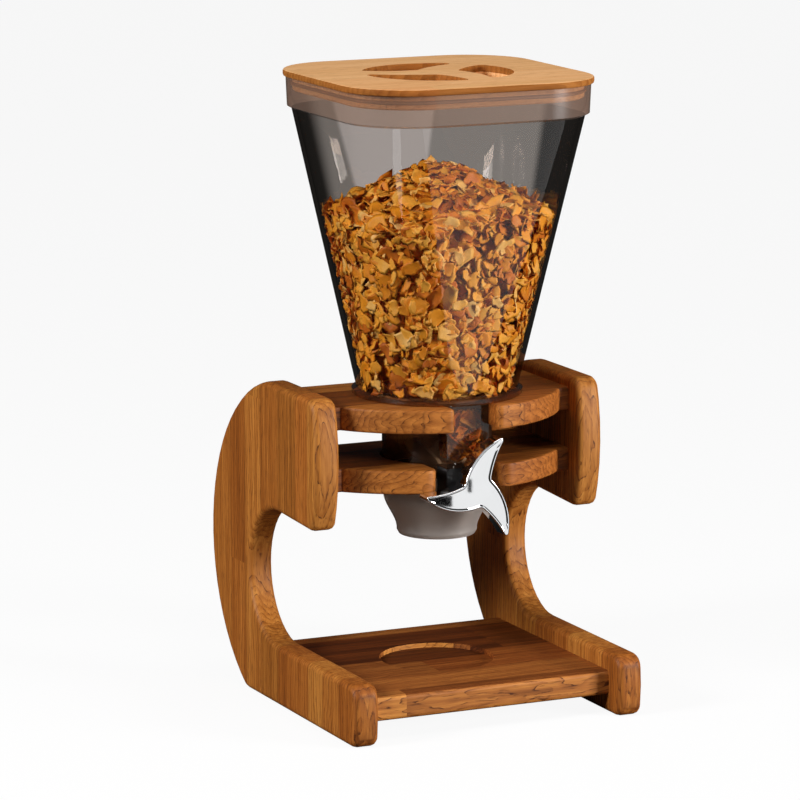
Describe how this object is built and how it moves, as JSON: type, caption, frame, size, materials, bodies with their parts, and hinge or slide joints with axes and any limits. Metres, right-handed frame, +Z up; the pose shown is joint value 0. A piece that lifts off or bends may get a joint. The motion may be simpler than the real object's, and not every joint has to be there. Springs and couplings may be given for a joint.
{
  "type": "gravity food dispenser",
  "caption": "Countertop gravity dispenser for dry food: clear tapered hopper with wooden lid on a wooden C-shaped stand, paddle wheel outlet turned by a three-lobed knob.",
  "frame": {"origin": "on the floor, midway between the side panels and midway between their front and back", "axes": "+Z up, the knob faces -Y, +X to the right as seen from the front with the knob facing the viewer"},
  "size_m": [0.2, 0.2279, 0.4043],
  "materials": {
    "panel_wood": "oiled",
    "board_wood": "oiled",
    "lid_wood": "satin",
    "dowel_wood": "matte",
    "smoke_clear": "polished",
    "clear_chamber": "polished",
    "frosted": "frosted",
    "black_plastic": "satin",
    "hub_plastic": "satin",
    "silicone": "matte",
    "steel": "ground",
    "chrome": "polished"
  },
  "bodies": {
    "stand": {"side_panel_left": "panel_wood", "side_panel_right": "panel_wood", "base_tray": "board_wood", "upper_shelf": "board_wood", "lower_shelf": "board_wood", "tray_dowels": "dowel_wood", "shelf_dowels": "dowel_wood", "hopper": "smoke_clear", "hopper_gasket": "silicone", "chamber": "clear_chamber", "outlet_cup": "frosted", "front_bearing": "black_plastic", "rear_bush": "black_plastic"},
    "rotor": {"axle": "steel", "rotor_hub": "hub_plastic", "rotor_pin": "steel", "rotor_vanes": "silicone", "knob": "chrome", "knob_set_screw": "steel"},
    "lid": {"lid_plate": "lid_wood", "lid_plug": "lid_wood", "lid_seal": "silicone"}
  },
  "joints": [
    {"name": "rotor_turn", "type": "hinge", "parent": "stand", "child": "rotor", "pos_m": [0, -0.02, 0.148], "axis": [0, 1, 0], "continuous": true},
    {"name": "lid_lift", "type": "slide", "parent": "stand", "child": "lid", "axis": [0, 0, 1], "range_m": [0, 0.12]}
  ]
}
